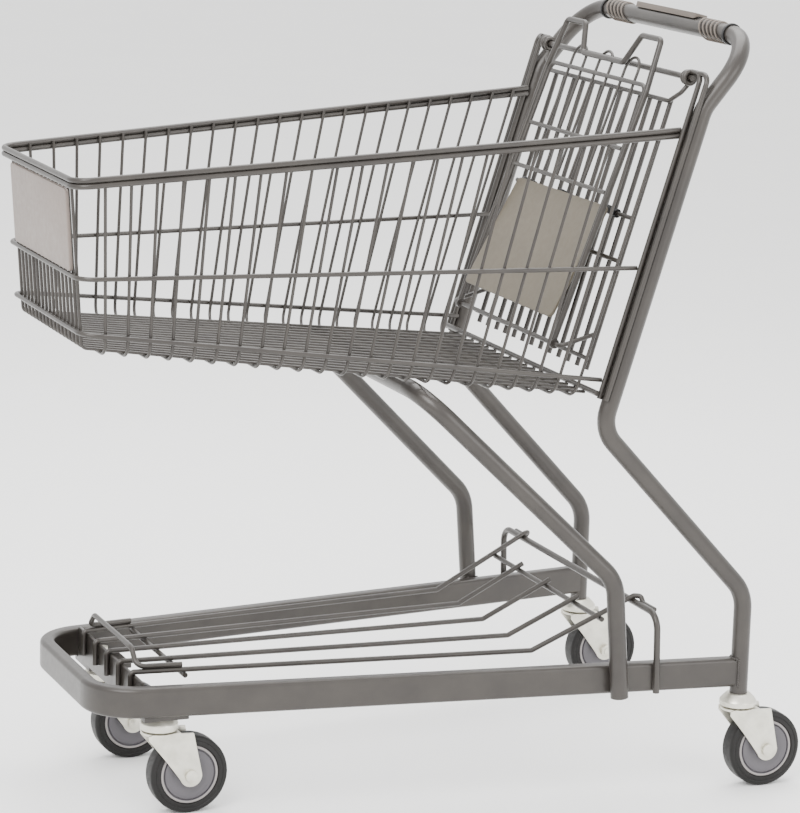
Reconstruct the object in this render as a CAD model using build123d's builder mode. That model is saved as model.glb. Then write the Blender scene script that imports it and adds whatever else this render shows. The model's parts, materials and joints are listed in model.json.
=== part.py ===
"""Shopping cart of about 100 litres: wire basket, tube legs and handle, rack, gate, child seat, casters.

Millimetres.  +Z is up, the handle is at +Y and the nose at -Y, and the cart's left side is at +X.
The origin lies on the floor, midway between the nose and the rear wheels' rearmost point.
"""

from build123d import *
from math import atan2, cos, degrees, radians, sin, sqrt
import os

# ---------------------------------------------------------------- driving dimensions
overall_length = 1004.0  # nose of the rim to the back of the rear tyres

# tubes and wires
tube_d = 24.0
tube_wall = 2.0
rim_d = 7.4
hoop_d = 6.0
basket_wire_d = 4.2
rack_wire_d = 7.0
post_rod_d = 7.0
hinge_bar_d = 8.0
gate_bar_d = 6.4
gate_wire_d = 6.0
seat_wire_d = 6.0
ear_wire_d = 8.0
arch_wire_d = 4.0
weld_gap = 0.03  # wires that are welded where they cross lie this far apart

# base rail
rail_w = 20.0
rail_h = 40.0
rail_bottom = 141.0
rail_half_at_origin = 197.2  # centreline, measured across at y = 0
rail_taper = 0.1235  # half-width gained per millimetre towards the handle
rail_nose_y = -451.0  # centreline of the nose bar
rail_nose_bend = 62.0
rail_corner = 6.0

# basket
rim_half_nose = 166.4
rim_half_rear = 236.3
rim_z_nose = 833.0
rim_z_rear = 888.3
rim_rear_y = 291.0
rim_bend = 24.0
nose_lean = 0.07  # the nose leans back by this much per millimetre of depth
mid_hoop_z = 713.7
low_hoop_above_floor = 25.0
floor_z_nose = 619.0
floor_half_nose = 152.0
floor_half_rear = 232.0
floor_rear_y = 184.0
floor_fall = 0.1135  # the floor drops by this much per millimetre towards the handle
side_wires = 23
side_wire_first_rim_y = -458.9
side_wire_last_rim_y = 265.9
side_wire_first_floor_y = -452.1
side_wire_last_floor_y = 160.8
side_wire_bend = 18.0
nose_wires = 17
nose_wire_bend = 8.0
nose_plate_w = 246.0
nose_plate_h = 104.0
nose_plate_t = 4.5
nose_plate_mid_z = 770.0
nose_plate_corner = 6.0

# rear legs and handle
leg_x = 249.0
leg_bottom = 131.5
leg_knee_z = 270.0
leg_hip_z = 506.0
leg_hip_y = 190.0
rake = 0.3035  # the posts lean back by this much per millimetre of height
neck_z = 920.5
handle_y = 388.0
handle_z = 1008.5
knee_bend = 55.0
hip_bend = 45.0
neck_bend = 45.0
handle_bend = 66.0

# front legs
front_leg_bottom_y = 233.0
front_leg_knee_y = 219.0
front_leg_knee_z = 301.0
front_leg_top_y = -42.0
front_leg_top_x = 199.0
front_leg_bend = 55.0
front_leg_drop = 1.6  # the level top run lies this far under the sloping floor wires

# grip
grip_d = 28.0
grip_length = 356.0
label_length = 175.0
label_w = 20.0
label_t = 3.5

# lower rack
rack_z = 187.6  # centreline of the wires where they lie on the cross-member
rack_front_y = -397.0
rack_front_drop = 33.0
rack_outer_front = 101.0
rack_outer_rear = 160.6
rack_inner_front = 50.0
rack_inner_rear = 84.0
rack_slope_y = 143.0
rack_bend = 5.5
rack_end_y = 239.0
rack_tail = 46.0  # the outer wires end this far out along the arch
arch_y = 284.5
arch_top = 253.0
arch_d = 9.0
arch_bend = 22.0

# front cross-member
cross_y = -365.0
cross_depth = 60.0
cross_bottom = 134.0
cross_top = 184.0
cross_wall = 4.0
cross_corner = 1.8
pad_inner_x = 88.0

# rear gate, hung from the hinge bar
hinge_y = 311.0
hinge_z = 957.0
hinge_eye_x = 216.5
gate_y = 307.0  # of the bars' centre plane, where its top wire lies
gate_top_z = 921.0
gate_bar_count = 13
gate_half = 174.0
gate_bottom_z = 570.0
seat_hinge_wire_z = 768.0
gate_mid_wire_z = 712.0
gate_low_wire_z = 584.0

# child seat
seat_rake = 0.368
seat_top_y = 285.0
seat_top_z = 938.7
seat_half = 146.0
seat_pivot_z = 603.0
seat_cross_z = 798.6
seat_upper_cross_z = 856.0
arch_pitch = 80.0
arch_w = 38.0
arch_z = 970.0
ear_top_z = 998.0
ear_outer_x = 142.0
ear_inner_x = 86.0
ear_bar_half = 62.0
ear_bar_z = 960.0
plate_w = 280.0
plate_t = 5.0
plate_top = (240.0, 779.5)
plate_bottom = (162.4, 634.7)

# casters
wheel_d = 105.0
wheel_w = 28.0
hub_d = 71.0
hub_w = 25.0
caster_trail = 38.5
front_caster_x = 120.0
fork_t = 3.0
fork_gap = 2.0  # between the tyre's side and the fork
fork_tip_r = 15.0
crown_r = 23.0
crown_top = 112.0
race_r = 25.0
race_bottom = 116.8
race_ball_d = 4.4
race_balls = 12
race_ball_ring = 17.0
stem_r = 6.0
axle_r = 5.0
running_fit = 0.08

# ---------------------------------------------------------------- derived sizes
front_y = -overall_length / 2 + rim_d / 2
rear_axle_y = overall_length / 2 - wheel_d / 2
rear_caster_y = rear_axle_y - caster_trail
leg_y = rear_caster_y
front_caster_y = cross_y
wheel_r = wheel_d / 2
rake_angle = degrees(atan2(rake, 1))
rail_taper_angle = degrees(atan2(rail_taper, 1))
rim_taper_angle = degrees(atan2(rim_half_rear - rim_half_nose, rim_rear_y - front_y))
os.makedirs("parts", exist_ok=True)


# ---------------------------------------------------------------- helpers
def mirrored(points):
    """The same points on the cart's right side, in reverse order, so that both halves join up."""
    return [(-x, y, z) for x, y, z in reversed(points)]


def wire(points, diameter, bend=0.0, wall=0.0, mode=Mode.ADD):
    """Add one round wire, or a tube where a wall is given, along straight runs with rounded bends."""
    with BuildLine() as path:
        if len(points) > 2:
            FilletPolyline(*points, radius=bend)
        else:
            Line(*points)
    with BuildSketch(Plane(origin=path.line @ 0, z_dir=path.line % 0)) as section:
        Circle(diameter / 2)
        if wall:
            Circle(diameter / 2 - wall, mode=Mode.SUBTRACT)
    sweep(section.sketch, path=path.line, mode=mode)


def save(builder, name):
    """Label the finished piece and write its file."""
    builder.part.label = name
    export_step(builder.part, f"parts/{name}.step")


def post_y(z):
    """Y of the raked post's centreline at a height."""
    return leg_hip_y + rake * (z - leg_hip_z)


def rail_half(y):
    """Half the distance between the rails' centrelines."""
    return rail_half_at_origin + rail_taper * y


def rim_half(y):
    return rim_half_nose + (rim_half_rear - rim_half_nose) * (y - front_y) / (rim_rear_y - front_y)


def rim_z(y):
    return rim_z_nose + (rim_z_rear - rim_z_nose) * (y - front_y) / (rim_rear_y - front_y)


def nose_y(z):
    """Y of the nose's centreline at a height."""
    return front_y + nose_lean * (rim_z_nose - z)


floor_nose_y = nose_y(floor_z_nose)


def floor_z(y):
    """Height of the cross wires' centreline in the floor."""
    return floor_z_nose - floor_fall * (y - floor_nose_y)


def floor_half(y):
    return floor_half_nose + (floor_half_rear - floor_half_nose) * (y - floor_nose_y) / (
        floor_rear_y - floor_nose_y
    )


def side_wire_ends(index):
    """Rim end and floor corner, as (x, y, z), of one of the U-shaped side wires."""
    share = index / (side_wires - 1)
    top_y = side_wire_first_rim_y + share * (side_wire_last_rim_y - side_wire_first_rim_y)
    low_y = side_wire_first_floor_y + share * (side_wire_last_floor_y - side_wire_first_floor_y)
    inset = (rim_d + basket_wire_d) / 2 / cos(radians(rim_taper_angle)) + weld_gap
    top = (rim_half(top_y) - inset, top_y, rim_z(top_y) + rim_d / 2)
    return top, (floor_half(low_y) - inset, low_y, floor_z(low_y))


def side_wire_at(index, share):
    """Point a share of the way down from the rim on a side wire's straight leg."""
    top, low = side_wire_ends(index)
    return tuple(t + share * (b - t) for t, b in zip(top, low))


def side_wire_at_z(index, z):
    top, low = side_wire_ends(index)
    return side_wire_at(index, (top[2] - z) / (top[2] - low[2]))


# ---------------------------------------------------------------- tube paths
neck_y = post_y(neck_z)
leg_path = [
    (leg_x, leg_y, leg_bottom),
    (leg_x, leg_y, leg_knee_z),
    (leg_x, leg_hip_y, leg_hip_z),
    (leg_x, neck_y, neck_z),
    (leg_x, handle_y, handle_z),
]
beside_rail = rail_w / 2 / cos(radians(rail_taper_angle)) + weld_gap
front_leg_x = rail_half(front_leg_bottom_y) + beside_rail + tube_d / 2 / cos(radians(rail_taper_angle))
front_leg_top_z = floor_z(front_leg_top_y) - (basket_wire_d + tube_d) / 2 - front_leg_drop
front_leg_path = [
    (front_leg_x, front_leg_bottom_y, rail_bottom - 1),
    (front_leg_x, front_leg_knee_y, front_leg_knee_z),
    (front_leg_top_x, front_leg_top_y, front_leg_top_z),
]


# ---------------------------------------------------------------- rear legs, posts and handle
leg_bends = (knee_bend, hip_bend, neck_bend, handle_bend, handle_bend, neck_bend, hip_bend, knee_bend)
with BuildPart() as rear_leg_handle_tube:
    wire(leg_path + mirrored(leg_path), tube_d, leg_bends, tube_wall)
save(rear_leg_handle_tube, "rear_leg_handle_tube")

# plugs in the legs' lower ends, bored for the casters' stems
plug_length = 26.0
stem_bore_r = stem_r + 0.03
with BuildPart() as leg_plugs:
    for side in (1, -1):
        with Locations((side * leg_x, leg_y, leg_bottom + 1 + plug_length / 2)):
            Cylinder(tube_d / 2 - tube_wall - weld_gap, plug_length)
            Cylinder(stem_bore_r, plug_length, mode=Mode.SUBTRACT)
save(leg_plugs, "leg_plugs")

# ---------------------------------------------------------------- front legs
with BuildPart() as front_leg_tube:
    wire(front_leg_path + mirrored(front_leg_path), tube_d, front_leg_bend, tube_wall)
save(front_leg_tube, "front_leg_tube")

# ---------------------------------------------------------------- base rail, coped to the rear legs
rail_mid = rail_bottom + rail_h / 2
cope_gap = 0.05
rail_end_y = leg_y - 2
with BuildPart() as base_rail:
    with BuildLine(Plane.XY.offset(rail_mid)) as rail_line:
        FilletPolyline(
            (rail_half(rail_end_y), rail_end_y),
            (rail_half(rail_nose_y), rail_nose_y),
            (-rail_half(rail_nose_y), rail_nose_y),
            (-rail_half(rail_end_y), rail_end_y),
            radius=rail_nose_bend,
        )
    rail_start = Plane(origin=rail_line.line @ 0, x_dir=(0, 0, 1), z_dir=rail_line.line % 0)
    with BuildSketch(rail_start) as rail_section:
        RectangleRounded(rail_h, rail_w, rail_corner)
        RectangleRounded(
            rail_h - 2 * tube_wall,
            rail_w - 2 * tube_wall,
            rail_corner - tube_wall,
            mode=Mode.SUBTRACT,
        )
    sweep(rail_section.sketch, path=rail_line.line)
    for side in (1, -1):
        lower_leg = [(side * x, y, z) for x, y, z in leg_path[:3]]
        wire(lower_leg, tube_d + 2 * cope_gap, knee_bend, mode=Mode.SUBTRACT)
save(base_rail, "base_rail")

# ---------------------------------------------------------------- front cross-member
def between_rails(y):
    """Half-width of what fits between the rails."""
    return rail_half(y) - rail_w / 2 - 0.12


cross_front_y = cross_y - cross_depth / 2
pad_top = rail_bottom - weld_gap
with BuildPart() as front_cross_member:
    # wall across the front, which the rack's wires are welded to
    front_half, back_half = between_rails(cross_front_y), between_rails(cross_front_y + cross_wall)
    with BuildSketch(Plane.XY.offset(pad_top - 2)):
        Polygon(
            (front_half, cross_front_y),
            (back_half, cross_front_y + cross_wall),
            (-back_half, cross_front_y + cross_wall),
            (-front_half, cross_front_y),
            align=None,
        )
    extrude(amount=cross_top - pad_top + 2)
    fillet(front_cross_member.edges().filter_by(Axis.X).group_by(Axis.Z)[-1], cross_corner)
    # pads under the rails, which carry the casters
    for side in (1, -1):
        pad_outer_x = rail_half(cross_y)
        with BuildSketch(Plane.XY.offset(cross_bottom)):
            with Locations((side * (pad_inner_x + pad_outer_x) / 2, cross_y)):
                Rectangle(pad_outer_x - pad_inner_x, cross_depth)
        extrude(amount=pad_top - cross_bottom)
    with Locations(*[(side * front_caster_x, front_caster_y, cross_bottom) for side in (1, -1)]):
        Cylinder(stem_bore_r, 4 * rail_w, mode=Mode.SUBTRACT)
save(front_cross_member, "front_cross_member")

stem_nut_h = 10.0
with BuildPart() as front_stem_nuts:
    for side in (1, -1):
        nut_plane = Plane((side * front_caster_x, front_caster_y, pad_top + 0.02))
        with BuildSketch(nut_plane):
            RegularPolygon(stem_r * 1.75, 6)
            Circle(stem_bore_r, mode=Mode.SUBTRACT)
        extrude(amount=stem_nut_h)
save(front_stem_nuts, "front_stem_nuts")

# ---------------------------------------------------------------- lower rack
def rack_x(front, rear, y):
    """X of a rack wire that spreads from front to rear along the flat part."""
    return front + (rear - front) * (y - rack_front_y) / (rack_slope_y - rack_front_y)


arch_rod_z = arch_top - arch_d / 2
arch_foot_y = arch_y + 3
arch_foot_x = rail_half(arch_foot_y) + beside_rail + arch_d / 2 / cos(radians(rail_taper_angle))
over_arch_z = arch_top + rack_wire_d / 2 + weld_gap
rack_rise = (over_arch_z - rack_z) / (arch_y - rack_slope_y)
rack_front_low = rack_z - rack_front_drop
rack_front_plane_y = cross_y - cross_depth / 2 - rack_wire_d / 2 - weld_gap
outer_spread = (rack_outer_rear - rack_outer_front) / (rack_slope_y - rack_front_y)
outer_arch_x = rack_outer_rear + outer_spread * (arch_y - rack_slope_y)
behind_arch_y = arch_y + (arch_d + rack_wire_d) / 2 + 2 * weld_gap
outer_front_x = rack_x(rack_outer_front, rack_outer_rear, rack_front_plane_y)
with BuildPart() as rack_outer_wires:
    for side in (1, -1):
        wire(
            [
                (side * outer_front_x, rack_front_plane_y, rack_front_low),
                (side * outer_front_x, rack_front_plane_y, rack_z),
                (side * rack_outer_rear, rack_slope_y, rack_z),
                (side * outer_arch_x, arch_y, over_arch_z),
                (side * (outer_arch_x + 5), behind_arch_y, over_arch_z),
                (side * (outer_arch_x + 13), behind_arch_y, arch_rod_z),
                (side * (outer_arch_x + rack_tail), behind_arch_y, arch_rod_z),
            ],
            rack_wire_d,
            rack_bend,
        )
save(rack_outer_wires, "rack_outer_wires")


def rack_height(y):
    """Height of the rack's wires at a place on their rear slope."""
    return rack_z + rack_rise * (y - rack_slope_y)


with BuildPart() as rack_inner_wires:
    for front, rear in (
        (rack_inner_front, rack_inner_rear),
        (0, 0),
        (-rack_inner_front, -rack_inner_rear),
    ):
        front_x = rack_x(front, rear, rack_front_plane_y)
        wire(
            [
                (front_x, rack_front_plane_y, rack_front_low),
                (front_x, rack_front_plane_y, rack_z),
                (rear, rack_slope_y, rack_z),
                (rack_x(front, rear, rack_end_y + 4), rack_end_y + 4, rack_height(rack_end_y + 4)),
            ],
            rack_wire_d,
            rack_bend,
        )
save(rack_inner_wires, "rack_inner_wires")

# wires across the rack, welded under its lengthways wires
rack_under = (rack_wire_d + weld_gap) / cos(atan2(rack_rise, 1))
under_front_y = cross_y + cross_depth / 2 + rack_wire_d / 2 + 4
under_front_half = rack_x(rack_outer_front, rack_outer_rear, under_front_y) + rack_wire_d / 2
under_front_z = rack_z - rack_wire_d - weld_gap
under_rear_half = outer_arch_x - outer_spread * (arch_y - rack_end_y) + rack_wire_d / 2
under_rear_z = rack_height(rack_end_y) - rack_under
with BuildPart() as rack_cross_wires:
    for half, y, z in (
        (under_front_half, under_front_y, under_front_z),
        (under_rear_half, rack_end_y, under_rear_z),
    ):
        wire([(-half, y, z), (half, y, z)], rack_wire_d)
save(rack_cross_wires, "rack_cross_wires")

stop_z = rack_z + rack_wire_d + weld_gap
stop_end_y = -331.0
stop_rise = 20.0
stop_half = 80.0
stop_bend = 12.0
with BuildPart() as rack_stop_hoop:
    stop_y = rack_front_plane_y + 8
    stop_path = [
        (rack_x(rack_outer_front, rack_outer_rear, stop_end_y), stop_end_y, stop_z),
        (rack_x(rack_outer_front, rack_outer_rear, stop_y), stop_y, stop_z),
        (stop_half, stop_y, stop_z + stop_rise),
    ]
    wire(stop_path + mirrored(stop_path), rack_wire_d, stop_bend)
save(rack_stop_hoop, "rack_stop_hoop")

with BuildPart() as rear_arch:
    arch_path = [
        (arch_foot_x, arch_foot_y, rail_bottom),
        (arch_foot_x, arch_y, arch_rod_z),
    ]
    wire(arch_path + mirrored(arch_path), arch_d, arch_bend)
save(rear_arch, "rear_arch")

# ---------------------------------------------------------------- basket rim and hoops
with BuildPart() as basket_rim:
    for lift in (rim_d / 2 + weld_gap, -rim_d / 2 - weld_gap):
        rim_path = [
            (rim_half_rear, rim_rear_y, rim_z_rear + lift),
            (rim_half_nose, front_y, rim_z_nose + lift),
        ]
        wire(rim_path + mirrored(rim_path), rim_d, rim_bend)
save(basket_rim, "basket_rim")

hoop_inset = (hoop_d + basket_wire_d) / 2 / cos(radians(rim_taper_angle)) + weld_gap
rod_inboard, rod_outboard = 5.5, 9.5
rod_front_x = leg_x - rod_inboard
rod_side_x = leg_x + rod_outboard


def rod_offset(across):
    """How far forward of the post a rod lies that touches it, for its offset across the cart."""
    return sqrt((tube_d + post_rod_d) ** 2 / 4 - across**2) / cos(radians(rake_angle)) + weld_gap


rod_front_offset = rod_offset(rod_inboard)
rod_side_offset = rod_offset(rod_outboard)


def hoop_half(y, z):
    """Half-width of a hoop that touches the outside of the side wires at a height."""
    wires = [side_wire_at_z(index, z) for index in range(side_wires)]
    (x0, y0, _), (x1, y1, _) = wires[0], wires[-1]
    slope = (x1 - x0) / (y1 - y0)
    widest = max(x - slope * y for x, y, _ in wires)
    return widest + slope * y + hoop_inset


def hoop(z_front, z_rear):
    """Add one U-shaped hoop round the basket, from post rod to post rod."""
    y_front = nose_y(z_front) + (rim_d - hoop_d) / 2
    y_rear = post_y(z_rear) - rod_front_offset
    points = [(hoop_half(y_rear, z_rear), y_rear, z_rear), (hoop_half(y_front, z_front), y_front, z_front)]
    wire(points + mirrored(points), hoop_d, rim_bend)


with BuildPart() as basket_mid_hoop:
    hoop(mid_hoop_z, mid_hoop_z)
save(basket_mid_hoop, "basket_mid_hoop")

with BuildPart() as basket_low_hoop:
    hoop(floor_z_nose + low_hoop_above_floor, floor_z(floor_rear_y) + low_hoop_above_floor)
save(basket_low_hoop, "basket_low_hoop")

# ---------------------------------------------------------------- basket wires
with BuildPart() as basket_side_wires:
    for index in range(side_wires):
        top, low = side_wire_ends(index)
        wire([top, low] + mirrored([top, low]), basket_wire_d, side_wire_bend)
save(basket_side_wires, "basket_side_wires")

nose_inset = (rim_d + basket_wire_d) / 2 + nose_lean * rim_d + weld_gap
nose_half = floor_half_nose - side_wire_bend - 4
floor_end_half = floor_half(floor_rear_y) - side_wire_bend - 8
floor_rise = (basket_wire_d + weld_gap) / cos(atan2(floor_fall, 1))
with BuildPart() as basket_nose_floor_wires:
    for index in range(nose_wires):
        share = 2 * index / (nose_wires - 1) - 1
        low_y = floor_nose_y + nose_inset
        top_z = rim_z_nose + rim_d / 2
        wire(
            [
                (share * nose_half, nose_y(top_z) + nose_inset, top_z),
                (share * nose_half, low_y, floor_z(low_y) + floor_rise),
                (share * floor_end_half, floor_rear_y, floor_z(floor_rear_y) + floor_rise),
            ],
            basket_wire_d,
            nose_wire_bend,
        )
save(basket_nose_floor_wires, "basket_nose_floor_wires")

floor_bar_z = floor_z(floor_rear_y) + floor_rise + (basket_wire_d + rim_d) / 2 + floor_fall * rim_d / 2
floor_bar_offset = (post_rod_d + rim_d) / 2 / cos(radians(rake_angle)) + weld_gap  # ahead of the post rods
floor_bar_y = post_y(floor_bar_z) - rod_front_offset - floor_bar_offset
floor_bar_half = rod_front_x + post_rod_d / 2
with BuildPart() as floor_rear_bar:
    wire([(-floor_bar_half, floor_bar_y, floor_bar_z), (floor_bar_half, floor_bar_y, floor_bar_z)], rim_d)
save(floor_rear_bar, "floor_rear_bar")

# nose plate, seated on the front of the nose wires between the rim and the middle hoop
nose_wire_plane_y = nose_y(nose_plate_mid_z) + nose_inset
plate_plane_y = nose_wire_plane_y - (basket_wire_d + nose_plate_t) / 2 - weld_gap
with BuildPart() as nose_plate:
    plate_plane = Plane((0, plate_plane_y, nose_plate_mid_z), x_dir=(1, 0, 0), z_dir=(0, -1, -nose_lean))
    with BuildSketch(plate_plane):
        RectangleRounded(nose_plate_w, nose_plate_h, nose_plate_corner)
    extrude(amount=nose_plate_t / 2, both=True)
save(nose_plate, "nose_plate")

# ---------------------------------------------------------------- post rods and hinge bar
rod_bend = 12.0
rod_tail = 8.0  # the rods reach this far below the floor's rear bar
eye_ring_r = hinge_bar_d / 2 + post_rod_d / 2 + 0.1
eye_top_z = hinge_z + eye_ring_r
with BuildPart() as post_rods:
    for side in (1, -1):
        rod_top_y = post_y(eye_top_z) - rod_front_offset
        low_z = floor_bar_z - rod_tail
        wire(
            [
                (side * rod_front_x, post_y(low_z) - rod_front_offset, low_z),
                (side * rod_front_x, rod_top_y, eye_top_z),
                (side * (hinge_eye_x + 1), hinge_y + 2, eye_top_z),
            ],
            post_rod_d,
            rod_bend,
        )
        wire(
            [
                (side * rod_side_x, post_y(low_z) - rod_side_offset, low_z),
                (side * rod_side_x, post_y(eye_top_z) - rod_side_offset, eye_top_z),
                (side * (rod_front_x - 6), hinge_y + 2, eye_top_z),
            ],
            post_rod_d,
            rod_bend,
        )
        with Locations(Plane((side * hinge_eye_x, hinge_y, hinge_z), z_dir=(1, 0, 0))):
            Torus(eye_ring_r, post_rod_d / 2)
save(post_rods, "post_rods")

with BuildPart() as gate_hinge_bar:
    wire([(-hinge_eye_x - 8, hinge_y, hinge_z), (hinge_eye_x + 8, hinge_y, hinge_z)], hinge_bar_d)
save(gate_hinge_bar, "gate_hinge_bar")

# ---------------------------------------------------------------- handle grip
grip_bore_r = tube_d / 2 + 0.03
handle_axis = Plane((0, handle_y, handle_z), x_dir=(0, 1, 0), z_dir=(1, 0, 0))
with BuildPart() as handle_grip:
    with BuildSketch(handle_axis):
        Circle(grip_d / 2)
        Circle(grip_bore_r, mode=Mode.SUBTRACT)
    extrude(amount=grip_length / 2, both=True)
save(handle_grip, "handle_grip")

ring_w = 5.0
ring_lip = 0.6
with BuildPart() as grip_end_rings:
    for side in (1, -1):
        with BuildSketch(handle_axis.offset(side * (grip_length / 2 + ring_w / 2 + 0.05))):
            Circle(grip_d / 2 + ring_lip)
            Circle(grip_bore_r, mode=Mode.SUBTRACT)
        extrude(amount=ring_w / 2, both=True)
save(grip_end_rings, "grip_end_rings")

label_seat = 4.2  # the label holder's edges reach this far down the grip's sides
label_lean = Plane((0, handle_y, handle_z), x_dir=(1, 0, 0), z_dir=(0, 0.25, 1))
with BuildPart() as label_holder:
    with BuildSketch(label_lean.offset(grip_d / 2 - label_seat)):
        RectangleRounded(label_length, label_w, 3)
    extrude(amount=label_seat + label_t)
    with Locations(handle_axis):
        Cylinder(grip_d / 2 + 0.03, label_length + 2, mode=Mode.SUBTRACT)
save(label_holder, "label_holder")

# ---------------------------------------------------------------- rear gate
gate_normal = (0, -cos(radians(rake_angle)), sin(radians(rake_angle)))
gate_plane = Plane((0, gate_y, gate_top_z), x_dir=(1, 0, 0), z_dir=gate_normal)


def on_gate(x, z, forward=0.0):
    """Point of the gate at a height, and a distance in front of its bars' centre plane."""
    up = (z - gate_top_z) / cos(radians(rake_angle))
    return tuple(gate_plane.from_local_coords((x, up, forward)))


gate_wire_forward = (gate_bar_d + gate_wire_d) / 2 + weld_gap
gate_ring_x = hinge_eye_x - post_rod_d / 2 - gate_wire_d / 2 - 1.0
gate_ring_bore = hinge_bar_d / 2 + running_fit
gate_ring_r = gate_ring_bore + gate_wire_d
with BuildPart() as gate_top_wire:
    gate_top_path = [
        (gate_ring_x, hinge_y + gate_ring_r - 2, hinge_z - 3),
        on_gate(gate_ring_x - 3, gate_top_z + 14, gate_wire_forward),
        on_gate(gate_half + 6, gate_top_z, gate_wire_forward),
    ]
    wire(gate_top_path + mirrored(gate_top_path), gate_wire_d, 8)
    for side in (1, -1):
        with Locations(Plane((side * gate_ring_x, hinge_y, hinge_z), z_dir=(1, 0, 0))):
            Torus(gate_ring_bore + gate_wire_d / 2, gate_wire_d / 2)
    with Locations(Plane((0, hinge_y, hinge_z), z_dir=(1, 0, 0))):
        Cylinder(gate_ring_bore, 2 * gate_ring_x + 40, mode=Mode.SUBTRACT)
save(gate_top_wire, "gate_top_wire")

with BuildPart() as gate_bars:
    for index in range(gate_bar_count):
        x = gate_half * (2 * index / (gate_bar_count - 1) - 1)
        wire([on_gate(x, gate_bottom_z), on_gate(x, gate_top_z + gate_wire_d / 2)], gate_bar_d)
save(gate_bars, "gate_bars")

with BuildPart() as gate_cross_wires:
    for z in (seat_hinge_wire_z, gate_mid_wire_z, gate_low_wire_z):
        half = gate_half + gate_bar_d
        wire([on_gate(-half, z, gate_wire_forward), on_gate(half, z, gate_wire_forward)], gate_wire_d)
save(gate_cross_wires, "gate_cross_wires")

# ---------------------------------------------------------------- child seat back
seat_angle = degrees(atan2(seat_rake, 1))
seat_pivot_y = seat_top_y - seat_rake * (seat_top_z - seat_pivot_z)
seat_normal = (0, -cos(radians(seat_angle)), sin(radians(seat_angle)))
seat_plane = Plane((0, seat_pivot_y, seat_pivot_z), x_dir=(1, 0, 0), z_dir=seat_normal)


def on_seat(x, z, forward=0.0):
    """Point of the child seat's back at a height, and a distance in front of its frame."""
    up = (z - seat_pivot_z) / cos(radians(seat_angle))
    return tuple(seat_plane.from_local_coords((x, up, forward)))


# pivot wire, a U welded to the gate's outer bars
seat_arm_z = seat_pivot_z + 12
arm_end = on_gate(gate_half, seat_arm_z, gate_bar_d / 2 + 1.5)
with BuildPart() as seat_pivot_wire:
    arm_path = [arm_end, (gate_half, seat_pivot_y, seat_pivot_z)]
    wire(arm_path + mirrored(arm_path), gate_wire_d, 9)
save(seat_pivot_wire, "seat_pivot_wire")

ear_x = seat_half + (seat_wire_d + ear_wire_d) / 2 + weld_gap
ear_forward = (ear_wire_d - seat_wire_d) / 2 + weld_gap
seat_eye_bore = gate_wire_d / 2 + running_fit
with BuildPart() as seat_ear_wire:
    ear_path = [
        on_seat(ear_x, seat_pivot_z + seat_eye_bore + 1, ear_forward),
        on_seat(ear_x, seat_top_z - 6, ear_forward),
        on_seat(ear_outer_x, ear_top_z, ear_forward),
        on_seat(ear_inner_x, ear_top_z, ear_forward),
        on_seat(ear_bar_half, ear_bar_z, ear_forward),
    ]
    wire(ear_path + mirrored(ear_path), ear_wire_d, 7.5)
    for side in (1, -1):
        with BuildSketch(Plane((side * ear_x, seat_pivot_y, seat_pivot_z), z_dir=(1, 0, 0))):
            Circle(seat_eye_bore + 3.5)
        extrude(amount=ear_wire_d / 2, both=True)
    with Locations(Plane((0, seat_pivot_y, seat_pivot_z), z_dir=(1, 0, 0))):
        Cylinder(seat_eye_bore, 2 * ear_x + 20, mode=Mode.SUBTRACT)
save(seat_ear_wire, "seat_ear_wire")

with BuildPart() as seat_back_frame:
    frame_path = [on_seat(seat_half, seat_pivot_z + 14), on_seat(seat_half, seat_top_z)]
    wire(frame_path + mirrored(frame_path), seat_wire_d, 14)
save(seat_back_frame, "seat_back_frame")

with BuildPart() as seat_cross_wires:
    for z in (seat_cross_z, seat_upper_cross_z):
        half = seat_half - seat_wire_d / 2 - weld_gap
        wire([on_seat(-half, z), on_seat(half, z)], seat_wire_d)
save(seat_cross_wires, "seat_cross_wires")

arch_back = -(seat_wire_d + arch_wire_d) / 2 - weld_gap
with BuildPart() as seat_arch_wires:
    for middle in (-arch_pitch, 0, arch_pitch):
        low = seat_cross_z - seat_wire_d / 2
        left, right = middle - arch_w / 2, middle + arch_w / 2
        wire(
            [
                on_seat(right, low, arch_back),
                on_seat(right, arch_z, arch_back),
                on_seat(left, arch_z, arch_back),
                on_seat(left, low, arch_back),
            ],
            arch_wire_d,
            arch_w / 2 - 0.5,
        )
save(seat_arch_wires, "seat_arch_wires")

# ---------------------------------------------------------------- seat plate and its clips
plate_axis = on_gate(0, seat_hinge_wire_z, gate_wire_forward)
plate_length = sqrt((plate_top[0] - plate_bottom[0]) ** 2 + (plate_top[1] - plate_bottom[1]) ** 2)
plate_tilt = atan2(plate_top[0] - plate_bottom[0], plate_top[1] - plate_bottom[1])
plate_normal = (0, -cos(plate_tilt), sin(plate_tilt))
plate_middle = (0, (plate_top[0] + plate_bottom[0]) / 2, (plate_top[1] + plate_bottom[1]) / 2)
seat_plate_plane = Plane(plate_middle, x_dir=(1, 0, 0), z_dir=plate_normal)
with BuildPart() as seat_plate:
    with BuildSketch(seat_plate_plane):
        RectangleRounded(plate_w, plate_length, 8)
    extrude(amount=plate_t / 2, both=True)
    fillet(seat_plate.edges().group_by(SortBy.LENGTH)[-1], 1.5)
save(seat_plate, "seat_plate")

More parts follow.
